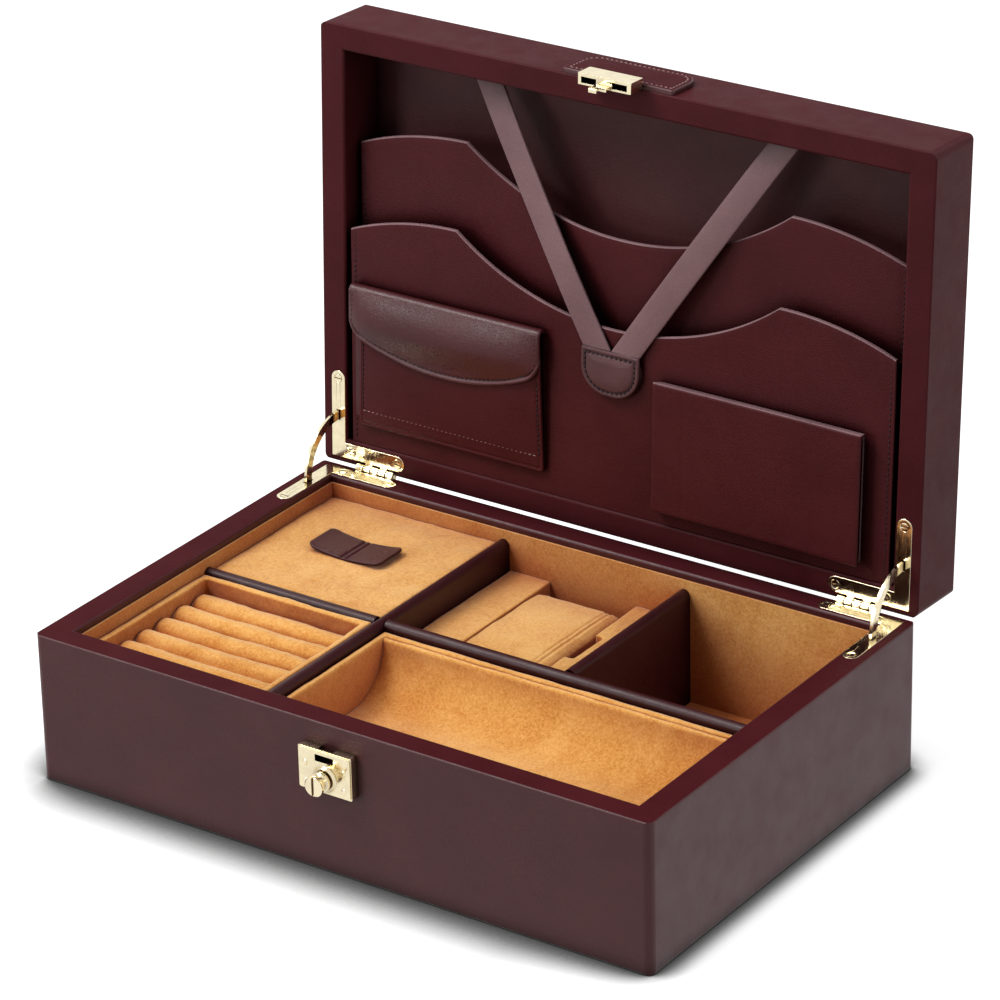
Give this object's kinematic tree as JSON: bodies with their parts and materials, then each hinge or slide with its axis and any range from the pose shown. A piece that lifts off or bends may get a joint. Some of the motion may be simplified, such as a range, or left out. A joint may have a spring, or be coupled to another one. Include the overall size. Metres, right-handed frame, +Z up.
{
  "type": "watch and jewellery box",
  "caption": "Leather-covered watch and jewellery box: hinged lid with pockets, straps and purse, suede trays, ring rolls, lift-out cover, watch pillow, turn lock and quadrant stays.",
  "frame": {"origin": "centre of the base's underside", "axes": "+X to the right along the box's width, +Z up, -Y towards the front with the lock"},
  "size_m": [0.302, 0.2543, 0.2755],
  "materials": {
    "leather": "smooth burgundy leather, satin",
    "dark_leather": "smooth dark burgundy leather, satin",
    "suede": "tan suede with a short mottled nap",
    "felt": "dark felt",
    "board": "bare board, hidden",
    "gold": "polished pale gold"
  },
  "bodies": {
    "base": {"base_front_wall": "leather", "base_back_wall": "leather", "base_left_wall": "leather", "base_right_wall": "leather", "base_floor": "board", "base_pad": "felt", "wall_lining": "suede", "floor_lining": "suede", "long_divider": "dark_leather", "cross_divider": "dark_leather", "short_divider": "dark_leather", "ring_tray": "suede", "ring_rolls": "suede", "scoop_frame": "suede", "scoop_sheet": "suede", "watch_ledge_left": "suede", "watch_ledge_right": "suede", "watch_deck": "suede", "cover_strips": "suede", "base_hinge_left": "gold", "base_hinge_right": "gold", "hinge_pin_left": "gold", "hinge_pin_right": "gold", "base_hinge_screws": "gold", "lock_case": "gold", "lock_rivets": "gold"},
    "lid": {"lid_front_wall": "leather", "lid_back_wall": "leather", "lid_left_wall": "leather", "lid_right_wall": "leather", "lid_top": "leather", "lid_lining": "dark_leather", "upper_pocket": "leather", "lower_pocket": "leather", "pocket_gussets": "dark_leather", "strap_left": "leather", "strap_right": "leather", "strap_tab": "leather", "purse_back": "leather", "purse_front": "leather", "purse_gusset": "dark_leather", "folder_back": "leather", "lid_hinge_left": "gold", "lid_hinge_right": "gold", "lid_hinge_screws": "gold", "hasp_plate": "gold", "hasp_tongue": "gold", "hasp_tab": "leather", "hasp_screws": "gold"},
    "stay_left": {"stay_left": "gold"},
    "stay_right": {"stay_right": "gold"},
    "cover": {"cover_panel": "suede", "cover_tab": "dark_leather"},
    "pillow": {"watch_pillow": "suede"},
    "knob": {"lock_knob": "gold"},
    "bolt": {"lock_bolt": "gold"},
    "flap": {"purse_flap": "leather"},
    "folder": {"folder_cover": "leather"}
  },
  "joints": [
    {"name": "lid_hinge", "type": "hinge", "parent": "base", "child": "lid", "pos_m": [0, 0.1015, 0.0676], "axis": [1, 0, 0], "range_deg": [0, 92.5]},
    {"name": "stay_left_swing", "type": "hinge", "parent": "base", "child": "stay_left", "pos_m": [-0.1432, 0.1015, 0.0676], "axis": [1, 0, 0], "range_deg": [0, 46.25]},
    {"name": "stay_right_swing", "type": "hinge", "parent": "base", "child": "stay_right", "pos_m": [0.1432, 0.1015, 0.0676], "axis": [1, 0, 0], "range_deg": [0, 46.25]},
    {"name": "cover_lift", "type": "slide", "parent": "base", "child": "cover", "axis": [0, 0, -1], "range_m": [-0.04, 0]},
    {"name": "pillow_lift", "type": "slide", "parent": "base", "child": "pillow", "axis": [0, 0, -1], "range_m": [-0.036, 0]},
    {"name": "knob_turn", "type": "hinge", "parent": "base", "child": "knob", "pos_m": [0, -0.1055, 0.045], "axis": [0, -1, 0], "range_deg": [0, 90]},
    {"name": "bolt_slide", "type": "slide", "parent": "base", "child": "bolt", "axis": [-1, 0, 0], "range_m": [0, 0.005]},
    {"name": "flap_hinge", "type": "hinge", "parent": "lid", "child": "flap", "pos_m": [-0.0855, 0.10293, 0.15537], "axis": [1, 0, 0], "range_deg": [-95, 0]},
    {"name": "folder_hinge", "type": "hinge", "parent": "lid", "child": "folder", "pos_m": [0.023, 0.10056, 0.11594], "axis": [0, 0.0436, 0.999], "range_deg": [-100, 0]}
  ],
  "couplings": [
    {"joint": "stay_left_swing", "follows": "lid_hinge", "ratio": 0.5},
    {"joint": "stay_right_swing", "follows": "lid_hinge", "ratio": 0.5},
    {"joint": "knob_turn", "follows": "bolt_slide", "rad_per_m": 314.16}
  ]
}
